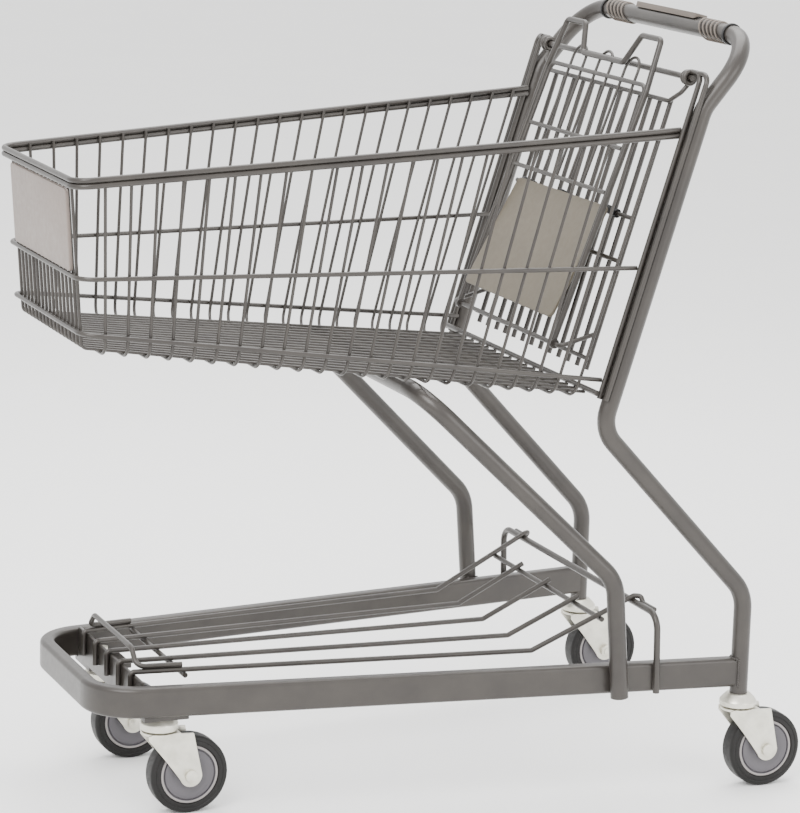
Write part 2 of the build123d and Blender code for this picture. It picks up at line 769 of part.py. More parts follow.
axis_on_plate = seat_plate_plane.to_local_coords(Vector(*plate_axis))
clip_bore = gate_wire_d / 2 + running_fit
clip_r = clip_bore + 3.2
clip_w = 14.0
gate_pitch = 2 * gate_half / (gate_bar_count - 1)
clip_x = (-4.5 * gate_pitch, -0.5 * gate_pitch, 4.5 * gate_pitch)
with BuildPart() as seat_plate_clips:
    for x in clip_x:
        clip_plane = Plane((x, plate_axis[1], plate_axis[2]), x_dir=plate_normal, z_dir=(-1, 0, 0))
        reach = -axis_on_plate.Z - plate_t / 2 - 0.02
        with BuildSketch(clip_plane):
            Circle(clip_r)
            with Locations((reach / 2, 0)):
                Rectangle(reach, 2 * clip_r - 2)
            Circle(clip_bore, mode=Mode.SUBTRACT)
        extrude(amount=clip_w / 2, both=True)
save(seat_plate_clips, "seat_plate_clips")

# ---------------------------------------------------------------- casters
caster_places = {
    "front_left": (front_caster_x, front_caster_y),
    "front_right": (-front_caster_x, front_caster_y),
    "rear_left": (leg_x, rear_caster_y),
    "rear_right": (-leg_x, rear_caster_y),
}
tube_end_z = {"front_left": cross_bottom, "front_right": cross_bottom}
stem_top = 158.0
stem_head_h = 5.0

with BuildPart() as caster_stems:
    for name, (x, y) in caster_places.items():
        head_bottom = crown_top - fork_t - 0.3 - stem_head_h
        with BuildSketch(Plane((x, y, head_bottom))):
            Circle(stem_r + 3.5)
        extrude(amount=stem_head_h)
        with BuildSketch(Plane((x, y, head_bottom))):
            Circle(stem_r)
        extrude(amount=stem_top - head_bottom)
save(caster_stems, "caster_stems")

with BuildPart() as caster_top_races:
    for name, (x, y) in caster_places.items():
        race_top = tube_end_z.get(name, leg_bottom) - weld_gap
        with BuildSketch(Plane((x, y, 0), x_dir=(1, 0, 0), z_dir=(0, -1, 0))):
            with BuildLine():
                Polyline(
                    (stem_r + 0.03, race_top),
                    (16, race_top),
                    (race_r - 3, race_top - 6),
                    (race_r, race_top - 10),
                    (race_r, race_bottom - 1.6),
                    (race_r - 1.8, race_bottom - 1.6),
                    (race_r - 3, race_bottom),
                    (stem_r + 0.03, race_bottom),
                    close=True,
                )
            make_face()
        revolve(axis=Axis((x, y, 0), (0, 0, 1)))
save(caster_top_races, "caster_top_races")

race_middle = (crown_top + race_bottom) / 2
with BuildPart() as caster_race_balls:
    for name, (x, y) in caster_places.items():
        with Locations((x, y, race_middle)):
            with PolarLocations(race_ball_ring, race_balls):
                Sphere(race_ball_d / 2)
save(caster_race_balls, "caster_race_balls")

fork_inner = wheel_w / 2 + fork_gap
crown_under = crown_top - fork_t


def fork(x, y):
    """Add one caster's fork: a crown and two cheeks that trail back to the axle."""
    axle_y = y + caster_trail
    with BuildSketch(Plane((x, y, crown_under))) as crown:
        Circle(crown_r)
        with Locations((0, 4)):
            Rectangle(2 * (fork_inner + fork_t), 2 * crown_r - 6)
    extrude(crown.sketch, amount=fork_t)
    for side in (1, -1):
        cheek_plane = Plane((x + side * (fork_inner + fork_t / 2), 0, 0), x_dir=(0, 1, 0), z_dir=(1, 0, 0))
        tip = (axle_y, wheel_r)
        front_tip = (axle_y - fork_tip_r * cos(radians(20)), wheel_r + fork_tip_r * sin(radians(-20)))
        back_tip = (axle_y + fork_tip_r * cos(radians(10)), wheel_r + fork_tip_r * sin(radians(10)))
        shoulder = (axle_y + fork_tip_r - 12, crown_top - 2)
        with BuildSketch(cheek_plane) as cheek:
            with BuildLine():
                Line((y - crown_r + 4, crown_top - 1), (y + crown_r, crown_top - 1))
                Line((y + crown_r, crown_top - 1), shoulder)
                Line(shoulder, back_tip)
                ThreePointArc(back_tip, (tip[0], tip[1] - fork_tip_r), front_tip)
                ThreePointArc(front_tip, (y + 3, wheel_r + 24), (y - crown_r + 4, crown_top - 8))
                Line((y - crown_r + 4, crown_top - 8), (y - crown_r + 4, crown_top - 1))
            make_face()
        extrude(cheek.sketch, amount=fork_t / 2, both=True)
    with Locations(Plane((x, axle_y, wheel_r), z_dir=(1, 0, 0))):
        Cylinder(axle_r + 0.03, 4 * fork_inner, mode=Mode.SUBTRACT)
    with Locations((x, y, crown_top)):
        Cylinder(stem_r + running_fit, 4 * fork_t, mode=Mode.SUBTRACT)


def axle(x, y):
    """Add one caster's axle bolt, with a round head outboard and a nut inboard."""
    side = 1 if x > 0 else -1
    cheek_face = fork_inner + fork_t + 0.03
    shaft = Plane((x, y + caster_trail, wheel_r), z_dir=(side, 0, 0))
    with BuildSketch(shaft.offset(-cheek_face - 7)) as shank:
        Circle(axle_r)
    extrude(shank.sketch, amount=2 * cheek_face + 9)
    with BuildSketch(shaft.offset(cheek_face)) as head:
        Circle(axle_r + 3.2)
    extrude(head.sketch, amount=4.5)
    with BuildSketch(shaft.offset(-cheek_face - 5)) as nut:
        RegularPolygon(axle_r + 4, 6)
    extrude(nut.sketch, amount=5)


def turned(x, y, outline):
    """Add a wheel part turned about one caster's axle from (radius, offset along the axle) points."""
    section_plane = Plane((x, y + caster_trail, wheel_r), x_dir=(0, 0, 1), z_dir=(0, -1, 0))
    with BuildSketch(section_plane) as section:
        with BuildLine():
            Polyline(*outline, close=True)
        make_face()
    revolve(section.sketch, axis=Axis((x, y + caster_trail, wheel_r), (1, 0, 0)))


def both_sides(half_outline):
    """Close an outline that is given for one side of the wheel by repeating it on the other."""
    return half_outline + [(r, -w) for r, w in reversed(half_outline)]


bush_r = axle_r + 4.0
bush_half = fork_inner - 0.3
hub_r = hub_d / 2
hub_outline = both_sides(
    [
        (bush_r + 0.03, hub_w / 2 + 1),
        (bush_r + 6, hub_w / 2 + 1),
        (bush_r + 7, hub_w / 2 - 3),
        (hub_r - 9, hub_w / 2 - 3),
        (hub_r - 7.5, hub_w / 2 - 1),
        (hub_r - 6, hub_w / 2 - 1),
        (hub_r - 5.5, hub_w / 2 - 3),
        (hub_r - 4.5, hub_w / 2 - 3),
        (hub_r - 4, hub_w / 2),
        (hub_r - 0.03, hub_w / 2),
    ]
)
tyre_outline = both_sides(
    [
        (hub_r, hub_w / 2),
        (hub_r + 3, wheel_w / 2),
        (wheel_r - 5, wheel_w / 2),
        (wheel_r - 1.5, wheel_w / 2 - 3.5),
        (wheel_r, wheel_w / 2 - 8),
    ]
)
bush_outline = both_sides([(axle_r + running_fit, bush_half), (bush_r, bush_half)])

for name, (x, y) in caster_places.items():
    with BuildPart() as caster_fork:
        fork(x, y)
    save(caster_fork, f"{name}_caster_fork")
    with BuildPart() as caster_axle:
        axle(x, y)
    save(caster_axle, f"{name}_caster_axle")
    with BuildPart() as wheel_hub:
        turned(x, y, hub_outline)
    save(wheel_hub, f"{name}_wheel_hub")
    with BuildPart() as wheel_tyre:
        turned(x, y, tyre_outline)
    save(wheel_tyre, f"{name}_wheel_tyre")
    with BuildPart() as wheel_bush:
        turned(x, y, bush_outline)
    save(wheel_bush, f"{name}_wheel_bush")
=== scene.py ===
"""Looks of a wire shopping cart.

Coated frame, plastic grip and plates, zinc casters, welds, and a studio with its floor, lights and camera.
"""

import json
from math import cos, pi, radians, sin, tan

import bpy
from bpy.props import FloatProperty, FloatVectorProperty, IntProperty, PointerProperty
from mathutils import Matrix, Vector

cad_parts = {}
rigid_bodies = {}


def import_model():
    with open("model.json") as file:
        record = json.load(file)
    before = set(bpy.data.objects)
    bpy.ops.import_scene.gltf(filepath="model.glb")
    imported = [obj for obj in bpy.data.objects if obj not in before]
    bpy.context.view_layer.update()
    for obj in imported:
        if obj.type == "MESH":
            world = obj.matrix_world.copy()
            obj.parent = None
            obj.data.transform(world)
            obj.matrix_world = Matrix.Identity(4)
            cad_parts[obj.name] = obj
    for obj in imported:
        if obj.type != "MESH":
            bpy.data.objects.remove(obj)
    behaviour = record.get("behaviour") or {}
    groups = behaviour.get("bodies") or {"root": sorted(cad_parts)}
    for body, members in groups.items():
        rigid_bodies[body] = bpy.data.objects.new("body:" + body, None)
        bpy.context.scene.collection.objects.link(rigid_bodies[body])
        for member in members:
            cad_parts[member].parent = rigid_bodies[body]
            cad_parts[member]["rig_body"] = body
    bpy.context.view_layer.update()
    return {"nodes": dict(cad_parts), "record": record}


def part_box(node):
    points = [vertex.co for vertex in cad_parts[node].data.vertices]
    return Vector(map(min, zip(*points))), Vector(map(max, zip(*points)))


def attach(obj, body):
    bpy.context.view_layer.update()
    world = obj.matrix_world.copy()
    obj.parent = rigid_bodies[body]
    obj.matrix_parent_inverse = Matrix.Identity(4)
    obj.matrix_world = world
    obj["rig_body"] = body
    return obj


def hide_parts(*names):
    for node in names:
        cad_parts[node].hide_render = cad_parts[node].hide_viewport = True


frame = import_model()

bl_info = {
    "name": "Shopping Cart Looks",
    "version": (1, 0, 0),
    "blender": (4, 5, 0),
    "location": "View3D > Sidebar > Cart",
    "description": "Builds the visible pieces and finishes of a wire shopping cart around its frame",
    "category": "Object",
}

MM = 0.001
CORNERS = ("front_left", "front_right", "rear_left", "rear_right")

# the camera: its place in metres, and its direction in degrees
CAMERA_PLACE = (3.97746, -1.66600, 1.41201)
CAMERA_AZIMUTH, CAMERA_ELEVATION, CAMERA_ROLL = 67.15, 12.0, 1.69
CAMERA_LENS_MM = 147.71
SENSOR_WIDTH_MM = 36

# the studio: brightness of the air, and each softbox's place, side and power
AIR_STRENGTH = 1.9
FLOOR_SIDE = 80
LIGHT_TARGET = (0, 0, 0.5)
SOFTBOXES = (
    ("key_softbox", (2.2, -2.4, 3.4), 2.4, 170),
    ("fill_softbox", (3.4, 1.8, 1.6), 2.0, 50),
    ("top_softbox", (-0.8, 0.6, 3.2), 2.6, 110),
)

# steps of the wheel centre's side from its rim inwards: width and height in millimetres
HUB_STEPS = (
    (0.8, 0.5),
    (3.2, 0.0),
    (0.5, -2.6),
    (1.0, 0.0),
    (0.5, 2.2),
    (7.4, 0.0),
    (4.0, -1.2),
    (6.5, 0.0),
    (0.8, 2.6),
    (2.0, 0.0),
)
HUB_HALF_MM = 12.2
HANDLE_BORE_MM = 12.05  # radius of the handle's tube, with a little room


# ---------------------------------------------------------------- colours and sizes
def srgb(code):
    """Linear colour of an sRGB hex value such as #706c67."""
    parts = [int(code[i : i + 2], 16) / 255 for i in (1, 3, 5)]
    return [p / 12.92 if p <= 0.04045 else ((p + 0.055) / 1.055) ** 2.4 for p in parts]


def colour_property(name, description, code):
    return FloatVectorProperty(
        name=name, description=description, default=srgb(code), subtype="COLOR", min=0, max=1
    )


def length_property(name, description, millimetres):
    return FloatProperty(
        name=name, description=description, default=millimetres * MM, subtype="DISTANCE", unit="LENGTH"
    )


class CartColours(bpy.types.PropertyGroup):
    """Colours of the cart's finishes."""

    coating: colour_property("Coating", "Powder coat on tubes and wires", "#37332f")
    coating_dark: colour_property("Coating shade", "Darker clouds in the powder coat", "#302c29")
    zinc: colour_property("Zinc", "Zinc plate on the casters' steel", "#d9d6ca")
    zinc_dark: colour_property("Zinc shade", "Duller clouds in the zinc plate", "#c6c3b6")
    tyre: colour_property("Tyre", "Rubber of the tyres", "#110f0e")
    hub: colour_property("Hub", "Nylon of the wheel centres", "#4e4b4f")
    grip: colour_property("Grip", "Sleeve on the handle", "#5f564e")
    nose: colour_property("Nose plate", "Plate on the basket's nose", "#7a6f68")
    seat: colour_property("Seat plate", "Child seat's plate", "#5c5548")
    clip: colour_property("Clips", "Clips and end rings", "#131212")
    hub_ring: colour_property("Hub ring", "Pale ring near the wheel centre's rim", "#85807e")
    floor: colour_property("Floor", "Studio floor", "#f8f8f7")


class CartSizes(bpy.types.PropertyGroup):
    """Sizes of the details that the finished pieces add to the frame."""

    rib_height: length_property("Rib height", "How far the grip's ribs stand proud", 0.8)
    rib_pitch: length_property("Rib pitch", "Distance from one rib to the next", 11.0)
    rib_count: IntProperty(name="Ribs", description="Ribs at each end of the grip", default=5, min=0)
    rib_slant: FloatProperty(
        name="Rib slant", description="Lean of the ribs", default=radians(32), subtype="ANGLE"
    )
    tyre_shoulder: length_property("Tyre shoulder", "Radius between tread and side", 6.0)
    ring_radius: length_property("Hub ring", "Radius of the wheel centre's pale ring", 37.2)
    ring_half: length_property("Hub ring half-width", "Half the width of the pale ring", 1.7)
    hub_radius: length_property("Hub radius", "Radius where the tyre meets the wheel centre", 39.2)
    sheet_round: length_property("Sheet edge", "Rounding of pressed steel edges", 0.9)
    moulded_round: length_property("Moulded edge", "Rounding of moulded plastic edges", 1.2)
    rail_half: length_property("Rail half-width", "Half the width of the base rail", 10.0)
    bead_radius: length_property("Weld bead", "Radius of the weld beads on the base", 2.2)


def sizes():
    return bpy.context.scene.cart_sizes


def colours():
    return bpy.context.scene.cart_colours


# ---------------------------------------------------------------- modelling helpers
def start_fresh():
    """Leave edit mode and select nothing."""
    if bpy.context.object and bpy.context.object.mode != "OBJECT":
        bpy.ops.object.mode_set(mode="OBJECT")
    bpy.ops.object.select_all(action="DESELECT")


def take(piece):
    """Make one piece the only selected and the active one."""
    start_fresh()
    piece.select_set(True)
    bpy.context.view_layer.objects.active = piece


def primitive(kind, name, **settings):
    """Add a primitive, name it and put its place and turn into its mesh."""
    start_fresh()
    getattr(bpy.ops.mesh, f"primitive_{kind}_add")(**settings)
    piece = bpy.context.object
    piece.name = name
    piece.data.name = name
    bpy.ops.object.transform_apply(location=True, rotation=True, scale=True)
    return piece


def edit(piece, test, edges=False):
    """Enter edit mode with the faces, or edges, that pass the test selected."""
    take(piece)
    mesh = piece.data
    for part in (mesh.vertices, mesh.edges, mesh.polygons):
        part.foreach_set("select", [False] * len(part))
    if edges:
        for edge in mesh.edges:
            edge.select = test(*[mesh.vertices[i].co for i in edge.vertices])
    else:
        for face in mesh.polygons:
            face.select = test(face)
    bpy.ops.object.mode_set(mode="EDIT")
    bpy.ops.mesh.select_mode(type="EDGE" if edges else "FACE")


def modify(piece, kind, **settings):
    """Add a modifier with its settings and apply it."""
    take(piece)
    modifier = piece.modifiers.new(kind.title(), kind)
    for key, value in settings.items():
        setattr(modifier, key, value)
    bpy.ops.object.modifier_apply(modifier=modifier.name)


def round_edges(piece, width, segments=2, angle=35):
    modify(
        piece,
        "BEVEL",
        width=width,
        segments=segments,
        limit_method="ANGLE",
        angle_limit=radians(angle),
        use_clamp_overlap=True,
    )


def smooth(piece, angle=35):
    take(piece)
    bpy.ops.object.shade_smooth_by_angle(angle=radians(angle))


def join(pieces, name):
    start_fresh()
    for piece in pieces:
        piece.select_set(True)
    bpy.context.view_layer.objects.active = pieces[0]
    bpy.ops.object.join()
    pieces[0].name = name
    pieces[0].data.name = name
    return pieces[0]


def copy_at(piece, name, offset):
    """A copy with its own mesh, moved by an offset."""
    made = bpy.data.objects.new(name, piece.data.copy())
    made.data.name = name
    bpy.context.scene.collection.objects.link(made)
    made.data.transform(Matrix.Translation(offset))
    return made


def merged_copy(node, name):
    """A copy of a frame node whose triangles are joined up, ready for rounding."""
    made = bpy.data.objects.new(name, frame["nodes"][node].data.copy())
    made.data.name = name
    bpy.context.scene.collection.objects.link(made)
    take(made)
    bpy.ops.object.mode_set(mode="EDIT")
    bpy.ops.mesh.select_all(action="SELECT")
    bpy.ops.mesh.remove_doubles(threshold=0.02 * MM)
    bpy.ops.mesh.dissolve_limited(angle_limit=radians(0.5))
    bpy.ops.object.mode_set(mode="OBJECT")
    bpy.ops.mesh.customdata_custom_splitnormals_clear()
    return made


def finish_piece(piece, body, slot, material, *nodes):
    """Give a piece its finish and its body, and hide the nodes it stands for."""
    piece.data.materials.clear()
    piece.data.materials.append(material)
    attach(piece, body)
    if nodes:
        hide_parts(*nodes)


def middle_of(node):
    low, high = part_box(node)
    return (low + high) / 2


def foot_of(node, side):
    """Middle of a tube's lower end on one side of the cart, and the tube's radius there."""
    corners = [vertex.co for vertex in frame["nodes"][node].data.vertices if side * vertex.co.x > 0]
    lowest = min(corner.z for corner in corners)
    end = [corner for corner in corners if corner.z < lowest + 2 * MM]
    low = Vector([min(corner[axis] for corner in end) for axis in range(3)])
    high = Vector([max(corner[axis] for corner in end) for axis in range(3)])
    return (low + high) / 2, (high.y - low.y) / 2


def spaced(start, end, step):
    """Points from start to end, no further apart than the step."""
    count = max(1, round((end - start).length / step))
    return [start.lerp(end, index / count) for index in range(count + 1)]


# ---------------------------------------------------------------- materials
def per_mm(millimetres):
    """Texture scale that makes a pattern's cells this many millimetres wide."""
    return 1 / (millimetres * MM)


def node(tree, kind, inputs=None, **settings):
    """Add a shader node with its settings, values and links."""
    made = tree.nodes.new(kind)
    for key, value in settings.items():
        setattr(made, key, value)
    for socket, value in (inputs or {}).items():
        if isinstance(value, bpy.types.NodeSocket):
            tree.links.new(value, made.inputs[socket])
        else:
            made.inputs[socket].default_value = value
    return made


def begin(name):
    """A new material's node tree with its shader, and the piece's own coordinates."""
    made = bpy.data.materials.new(name)
    made.use_nodes = True
    tree = made.node_tree
    shader = tree.nodes["Principled BSDF"]
    place = node(tree, "ShaderNodeTexCoord").outputs["Object"]
    return made, tree, shader, place


def tones(tree, factor, stops):
    """Colour ramp from (position, linear colour) stops."""
    ramp = node(tree, "ShaderNodeValToRGB", {"Fac": factor})
    band = ramp.color_ramp
    for index, (position, shade) in enumerate(stops):
        element = band.elements[index] if index < 2 else band.elements.new(position)
        element.position = position
        element.color = (*shade, 1)
    return ramp.outputs["Color"]


def grain(tree, place, size_mm, detail=3.0, roughness=0.55):
    """Noise whose lumps are about this many millimetres wide."""
    made = node(
        tree,
        "ShaderNodeTexNoise",
        {"Vector": place, "Scale": per_mm(size_mm), "Detail": detail, "Roughness": roughness},
    )
    return made.outputs["Fac"]


def spread(tree, value, low, high):
    """A value from 0 to 1 spread between two limits."""
    return node(
        tree,
        "ShaderNodeMapRange",
        {"Value": value, "From Min": 0.3, "From Max": 0.7, "To Min": low, "To Max": high},
    ).outputs["Result"]


def bump(tree, height, depth_mm, strength=1.0, under=None):
    inputs = {"Height": height, "Distance": depth_mm * MM, "Strength": strength}
    if under:
        inputs["Normal"] = under
    return node(tree, "ShaderNodeBump", inputs).outputs["Normal"]


def shaded(shade, factor):
    return [max(0.0, min(1.0, part * factor)) for part in shade]


def powder_coat():
    """Metallic polyester powder coat on steel.

    Sprayed and baked: a satin grey-brown film with fine aluminium flake and a faint orange peel.
    """
    made, tree, shader, place = begin("metallic_powder_coat")
    cloud = grain(tree, place, 60)
    flake = node(tree, "ShaderNodeTexVoronoi", {"Vector": place, "Scale": per_mm(0.7)})
    sparkle = node(tree, "ShaderNodeSeparateColor", {"Color": flake.outputs["Color"]}).outputs["Red"]
    speck = node(
        tree, "ShaderNodeMath", {0: sparkle, 1: 0.07, 2: cloud}, operation="MULTIPLY_ADD"
    ).outputs["Value"]
    light = colours().coating
    stops = [(0.35, colours().coating_dark), (0.6, light), (0.78, shaded(light, 1.12))]
    tree.links.new(tones(tree, speck, stops), shader.inputs["Base Color"])
    shader.inputs["Metallic"].default_value = 0.35
    tree.links.new(spread(tree, grain(tree, place, 9), 0.38, 0.44), shader.inputs["Roughness"])
    peel = grain(tree, place, 1.6, 1.0)
    tree.links.new(bump(tree, peel, 0.03, 0.3), shader.inputs["Normal"])
    shader.inputs["Coat Weight"].default_value = 0.25
    shader.inputs["Coat Roughness"].default_value = 0.22
    return made


def zinc_plate():
    """Bright zinc plate on pressed steel: pale, slightly yellow, with soft cloudy patches from the bath."""
    made, tree, shader, place = begin("bright_zinc_plate")
    cloud = grain(tree, place, 20, 3.0)
    tree.links.new(
        tones(tree, cloud, [(0.32, colours().zinc_dark), (0.62, colours().zinc)]), shader.inputs["Base Color"]
    )
    shader.inputs["Metallic"].default_value = 0.7
    tree.links.new(spread(tree, grain(tree, place, 5), 0.3, 0.38), shader.inputs["Roughness"])
    tree.links.new(bump(tree, grain(tree, place, 2.4, 2.0), 0.02, 0.25), shader.inputs["Normal"])
    return made


def tyre_rubber():
    """Moulded thermoplastic rubber: near black, dusty on the tread, with a fine matt mould grain."""
    made, tree, shader, place = begin("moulded_tyre_rubber")
    base = colours().tyre
    cloud = grain(tree, place, 12, 5.0, 0.65)
    tree.links.new(
        tones(tree, cloud, [(0.3, shaded(base, 0.75)), (0.55, base), (0.8, shaded(base, 1.5))]),
        shader.inputs["Base Color"],
    )
    tree.links.new(spread(tree, grain(tree, place, 6), 0.42, 0.6), shader.inputs["Roughness"])
    tree.links.new(bump(tree, grain(tree, place, 0.9, 2.0), 0.06, 0.5), shader.inputs["Normal"])
    shader.inputs["IOR"].default_value = 1.52
    shader.inputs["Specular IOR Level"].default_value = 0.3
    return made


def moulded_plastic(name, shade, grain_mm, depth_mm, roughness):
    """Injection-moulded plastic: an even colour with faint flow clouds and the mould's spark-eroded grain."""
    made, tree, shader, place = begin(name)
    cloud = grain(tree, place, 45, 2.0)
    tree.links.new(
        tones(tree, cloud, [(0.25, shaded(shade, 0.93)), (0.75, shaded(shade, 1.06))]),
        shader.inputs["Base Color"],
    )
    tree.links.new(
        spread(tree, grain(tree, place, 8), roughness - 0.05, roughness + 0.05), shader.inputs["Roughness"]
    )
    tree.links.new(bump(tree, grain(tree, place, grain_mm, 2.0), depth_mm, 0.6), shader.inputs["Normal"])
    shader.inputs["IOR"].default_value = 1.49
    return made


def studio_floor():
    """Painted studio floor: pale and matt, with a faint roller texture."""
    made, tree, shader, place = begin("studio_floor_paint")
    base = colours().floor
    cloud = grain(tree, place, 400, 2.0)
    tree.links.new(
        tones(tree, cloud, [(0.3, shaded(base, 0.985)), (0.7, base)]), shader.inputs["Base Color"]
    )
    shader.inputs["Roughness"].default_value = 0.75
    return made


def finish(key):
    """The material of a slot, made the first time it is asked for."""
    names = {
        "frame_coating": "metallic_powder_coat",
        "zinc": "bright_zinc_plate",
        "tyre": "moulded_tyre_rubber",
        "hub_plastic": "moulded_nylon",
        "hub_ring": "moulded_nylon_pale",
        "grip_plastic": "moulded_polypropylene",
        "nose_plastic": "moulded_abs_nose",
        "seat_plastic": "moulded_abs_seat",
        "dark_plastic": "moulded_acetal",
    }
    found = bpy.data.materials.get(names[key])
    if found:
        return found
    if key == "frame_coating":
        return powder_coat()
    if key == "zinc":
        return zinc_plate()
    if key == "tyre":
        return tyre_rubber()
    plastics = {
        "hub_plastic": (colours().hub, 1.2, 0.05, 0.45),
        "hub_ring": (colours().hub_ring, 1.2, 0.03, 0.4),
        "grip_plastic": (colours().grip, 1.0, 0.08, 0.5),
        "nose_plastic": (colours().nose, 1.4, 0.04, 0.42),
        "seat_plastic": (colours().seat, 1.4, 0.05, 0.5),
        "dark_plastic": (colours().clip, 1.0, 0.05, 0.4),
    }
    return moulded_plastic(names[key], *plastics[key])


# ---------------------------------------------------------------- operators
class CART_OT_coat_frame(bpy.types.Operator):
    """Give every piece of the frame the finish of its slot"""

    bl_idname = "cart.coat_frame"
    bl_label = "Coat Frame"

    def execute(self, context):
        for entry in frame["record"]["subparts"]:
            piece = frame["nodes"][entry["node"]]
            piece.data.materials.clear()
            piece.data.materials.append(finish(entry["material_slot"]))
        return {"FINISHED"}


class CART_OT_make_grip(bpy.types.Operator):
    """Model the grip's sleeve with its slanted ribs"""

    bl_idname = "cart.make_grip"
    bl_label = "Make Grip"

    def execute(self, context):
        low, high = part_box("handle_grip")
        middle = (low + high) / 2
        radius = (high.z - low.z) / 2
        bore = HANDLE_BORE_MM * MM
        length = high.x - low.x
        sleeve = primitive(
            "cylinder",
            "grip_sleeve",
            vertices=64,
            radius=radius,
            depth=length,
            location=middle,
            rotation=(0, pi / 2, 0),
        )
        edit(sleeve, lambda face: abs(face.normal.x) > 0.9)
        bpy.ops.mesh.inset(thickness=radius - bore)
        bpy.ops.mesh.bridge_edge_loops()
        bpy.ops.object.mode_set(mode="OBJECT")
        round_edges(sleeve, 0.8 * MM)
        pieces = [sleeve]
        for side in (1, -1):
            for index in range(sizes().rib_count):
                reach = length / 2 - 18 * MM - index * sizes().rib_pitch
                rib = primitive(
                    "torus",
                    f"rib_{side}_{index}",
                    major_segments=64,
                    minor_segments=10,
                    major_radius=radius - 0.4 * MM,
                    minor_radius=sizes().rib_height + 0.4 * MM,
                    location=(0, middle.y, middle.z),
                    rotation=(0, pi / 2, 0),
                )
                lean = tan(sizes().rib_slant)
                for vertex in rib.data.vertices:
                    vertex.co.x += side * reach + lean * (middle.z - vertex.co.z)
                pieces.append(rib)
        sleeve = join(pieces, "grip_sleeve")
        smooth(sleeve)
        finish_piece(sleeve, "chassis", "grip_plastic", finish("grip_plastic"), "handle_grip")
        return {"FINISHED"}


ROUNDED = {
    "label_holder": ("moulded_round", 3),
    "grip_end_rings": ("moulded_round", 3),
    "nose_plate": ("moulded_round", 3),
    "seat_plate": ("moulded_round", 3),
    "seat_plate_clips": ("moulded_round", 2),
    "caster_top_races": ("sheet_round", 3),
    "front_cross_member": ("sheet_round", 2),
}


class CART_OT_round_pieces(bpy.types.Operator):
    """Round the edges of moulded and pressed pieces as their tools leave them"""

    bl_idname = "cart.round_pieces"
    bl_label = "Round Pieces"

    def execute(self, context):
        slots = {entry["node"]: entry["material_slot"] for entry in frame["record"]["subparts"]}
        targets = dict(ROUNDED)
        for corner in CORNERS:
            targets[f"{corner}_caster_fork"] = ("sheet_round", 3)
            targets[f"{corner}_caster_axle"] = ("sheet_round", 2)
        for name, (size_name, segments) in targets.items():
            piece = merged_copy(name, f"{name}_rounded")
            round_edges(piece, getattr(sizes(), size_name), segments)
            smooth(piece, 40)
            body = frame["nodes"][name]["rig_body"]
            finish_piece(piece, body, slots[name], finish(slots[name]), name)
        return {"FINISHED"}


class CART_OT_lay_beads(bpy.types.Operator):
    """Lay the rippled weld beads where the legs and the rear arch meet the base rail"""

    bl_idname = "cart.lay_beads"
    bl_label = "Lay Beads"

    def execute(self, context):
        rail_low, rail_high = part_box("base_rail")
        bead = sizes().bead_radius
        step = 1.3 * bead
        dots = []
        for side in (1, -1):
            for name in ("front_leg_tube", "rear_arch"):
                foot, radius = foot_of(name, side)
                face = foot.x - side * (radius - 0.4 * bead)
                for turn in (1, -1):
                    y = foot.y + turn * 0.6 * radius
                    low = max(rail_low.z, foot.z) + 2 * bead
                    start = Vector((face, y, low))
                    dots += spaced(start, Vector((face, y, rail_high.z - bead)), step)
            foot, radius = foot_of("rear_leg_handle_tube", side)
            half = sizes().rail_half
            back = foot.y - (radius**2 - half**2) ** 0.5
            for turn in (1, -1):
                x = foot.x + turn * (half - 0.3 * bead)
                start = Vector((x, back, rail_low.z + bead))
                dots += spaced(start, Vector((x, back, rail_high.z - bead)), step)
            for index in range(-3, 4):
                x = index * half / 3.6
                y = foot.y - (radius**2 - x**2) ** 0.5 - 0.3 * bead
                dots.append(Vector((foot.x + x, y, rail_high.z - 0.3 * bead)))
        ball = primitive("uv_sphere", "bead", segments=14, ring_count=8, radius=bead)
        balls = [copy_at(ball, f"bead_{index}", dot) for index, dot in enumerate(dots)]
        beads = join(balls, "weld_beads")
        bpy.data.objects.remove(ball)
        smooth(beads, 60)
        finish_piece(beads, "chassis", "frame_coating", finish("frame_coating"))
        return {"FINISHED"}


class CART_OT_make_tyres(bpy.types.Operator):
    """Model one tyre with round shoulders and moulded side rings, and fit it to each wheel"""

    bl_idname = "cart.make_tyres"
    bl_label = "Make Tyres"

    def execute(self, context):
        low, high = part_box("front_left_wheel_tyre")
        radius = (high.z - low.z) / 2
        width = high.x - low.x
        hub_radius = sizes().hub_radius + 0.1 * MM
        tyre = primitive(
            "cylinder", "tyre", vertices=96, radius=radius, depth=width, rotation=(0, pi / 2, 0)
        )
        edit(tyre, lambda face: abs(face.normal.x) > 0.9)
        bpy.ops.mesh.inset(thickness=6 * MM)
        bpy.ops.mesh.inset(thickness=1 * MM, depth=-0.7 * MM)
        bpy.ops.mesh.inset(thickness=1 * MM, depth=0.5 * MM)
        bpy.ops.mesh.inset(thickness=radius - hub_radius - 9 * MM)
        bpy.ops.mesh.inset(thickness=1 * MM, depth=-1.4 * MM)
        bpy.ops.mesh.bridge_edge_loops()
        bpy.ops.object.mode_set(mode="OBJECT")
        edge_radius = radius - 0.1 * MM
        edit(
            tyre,
            lambda a, b: min(Vector(a.yz).length, Vector(b.yz).length) > edge_radius
            and abs(a.x - b.x) < 0.1 * MM,
            edges=True,
        )
        bpy.ops.mesh.bevel(offset=sizes().tyre_shoulder, segments=6, profile=0.6)
        bpy.ops.object.mode_set(mode="OBJECT")
        smooth(tyre, 30)
        for corner in CORNERS:
            node_name = f"{corner}_wheel_tyre"
            made = copy_at(tyre, f"{corner}_tyre", middle_of(node_name))
            finish_piece(made, f"{corner}_wheel", "tyre", finish("tyre"), node_name)
        bpy.data.objects.remove(tyre)
        return {"FINISHED"}


